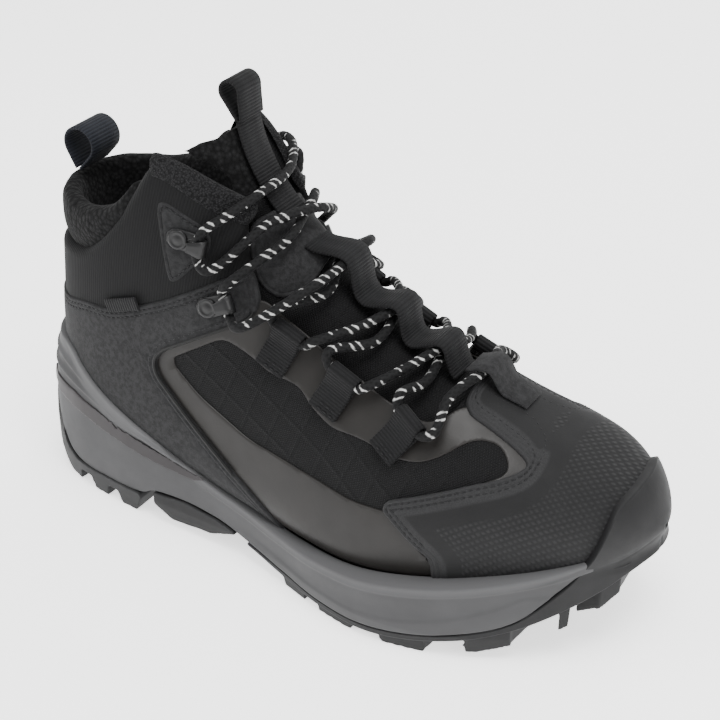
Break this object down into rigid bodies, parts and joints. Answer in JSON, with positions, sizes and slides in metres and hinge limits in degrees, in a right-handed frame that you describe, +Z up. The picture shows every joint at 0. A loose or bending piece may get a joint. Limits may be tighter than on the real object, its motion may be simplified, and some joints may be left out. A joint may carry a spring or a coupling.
{
  "type": "hiking boot",
  "caption": "Mid-height laced hiking boot for the right foot: layered leather and mesh upper, padded collar, tongue with webbing keepers, sprung pull loops and a lugged sole.",
  "frame": {"origin": "on the ground under the middle of the boot, half way along its length and half way across its width", "axes": "+X to the toe, +Y to the inner (medial) side of the foot, +Z up"},
  "size_m": [0.3053, 0.1156, 0.213],
  "materials": {
    "nubuck": "brushed nubuck, dark grey, with double rows of punched stitching",
    "mesh": "black woven mesh with a fine diagonal relief",
    "softshell": "dark softshell cloth with a fine upright rib",
    "film": "thin welded film, dark brownish grey, half gloss",
    "knit": "soft brushed knit over foam",
    "lining": "looped lining cloth, black",
    "webbing": "ribbed polyester webbing, bluish dark grey",
    "lace": "round braided lace, black with pale flecks",
    "hook": "dark coated steel, half matt",
    "plastic": "hard moulded plastic, black",
    "board": "fibre board",
    "steel": "spring steel",
    "foam": "moulded foam, mid grey, matt with fine pores",
    "inset": "moulded stabiliser, warm dark grey",
    "rubber": "moulded rubber, near black, matt"
  },
  "bodies": {
    "boot": {"aglet_1": "plastic", "aglet_2": "plastic", "ankle_panel": "softshell", "collar_padding": "knit", "film_lateral": "film", "film_medial": "film", "footbed": "lining", "heel_counter": "plastic", "heel_inset_lateral": "inset", "heel_inset_medial": "inset", "hook_lower_lateral": "hook", "hook_lower_medial": "hook", "hook_patch_lateral": "nubuck", "hook_patch_medial": "nubuck", "hook_upper_lateral": "hook", "hook_upper_medial": "hook", "lace": "lace", "lace_loop_lateral_1": "webbing", "lace_loop_lateral_2": "webbing", "lace_loop_lateral_3": "webbing", "lace_loop_medial_1": "webbing", "lace_loop_medial_2": "webbing", "lace_loop_medial_3": "webbing", "lasting_board": "board", "lining": "lining", "mesh_upper": "mesh", "midsole": "foam", "outsole_forefoot": "rubber", "outsole_heel": "rubber", "outsole_pad_lateral": "rubber", "outsole_pad_medial": "rubber", "quarter_overlay": "nubuck", "rivet_lower_lateral": "hook", "rivet_lower_medial": "hook", "rivet_upper_lateral": "hook", "rivet_upper_medial": "hook", "shank": "steel", "side_tag": "webbing", "throat_tab": "nubuck", "toe_cap": "nubuck", "toe_puff": "plastic", "tongue": "knit", "tongue_panel": "nubuck", "tongue_pull_tab": "webbing", "tongue_strap": "webbing"},
    "heel_loop": {"heel_pull_loop": "webbing"},
    "tongue_loop": {"tongue_pull_loop": "webbing"}
  },
  "joints": [
    {"name": "heel_loop_bend", "type": "hinge", "parent": "boot", "child": "heel_loop", "pos_m": [-0.1365, 0.005, 0.152], "axis": [0, 1, 0], "range_deg": [-45, 25], "stiffness_Nm_per_rad": 0.004},
    {"name": "tongue_loop_bend", "type": "hinge", "parent": "boot", "child": "tongue_loop", "pos_m": [-0.0495, 0.005, 0.1953], "axis": [0, 1, 0], "range_deg": [-30, 40], "stiffness_Nm_per_rad": 0.004}
  ]
}
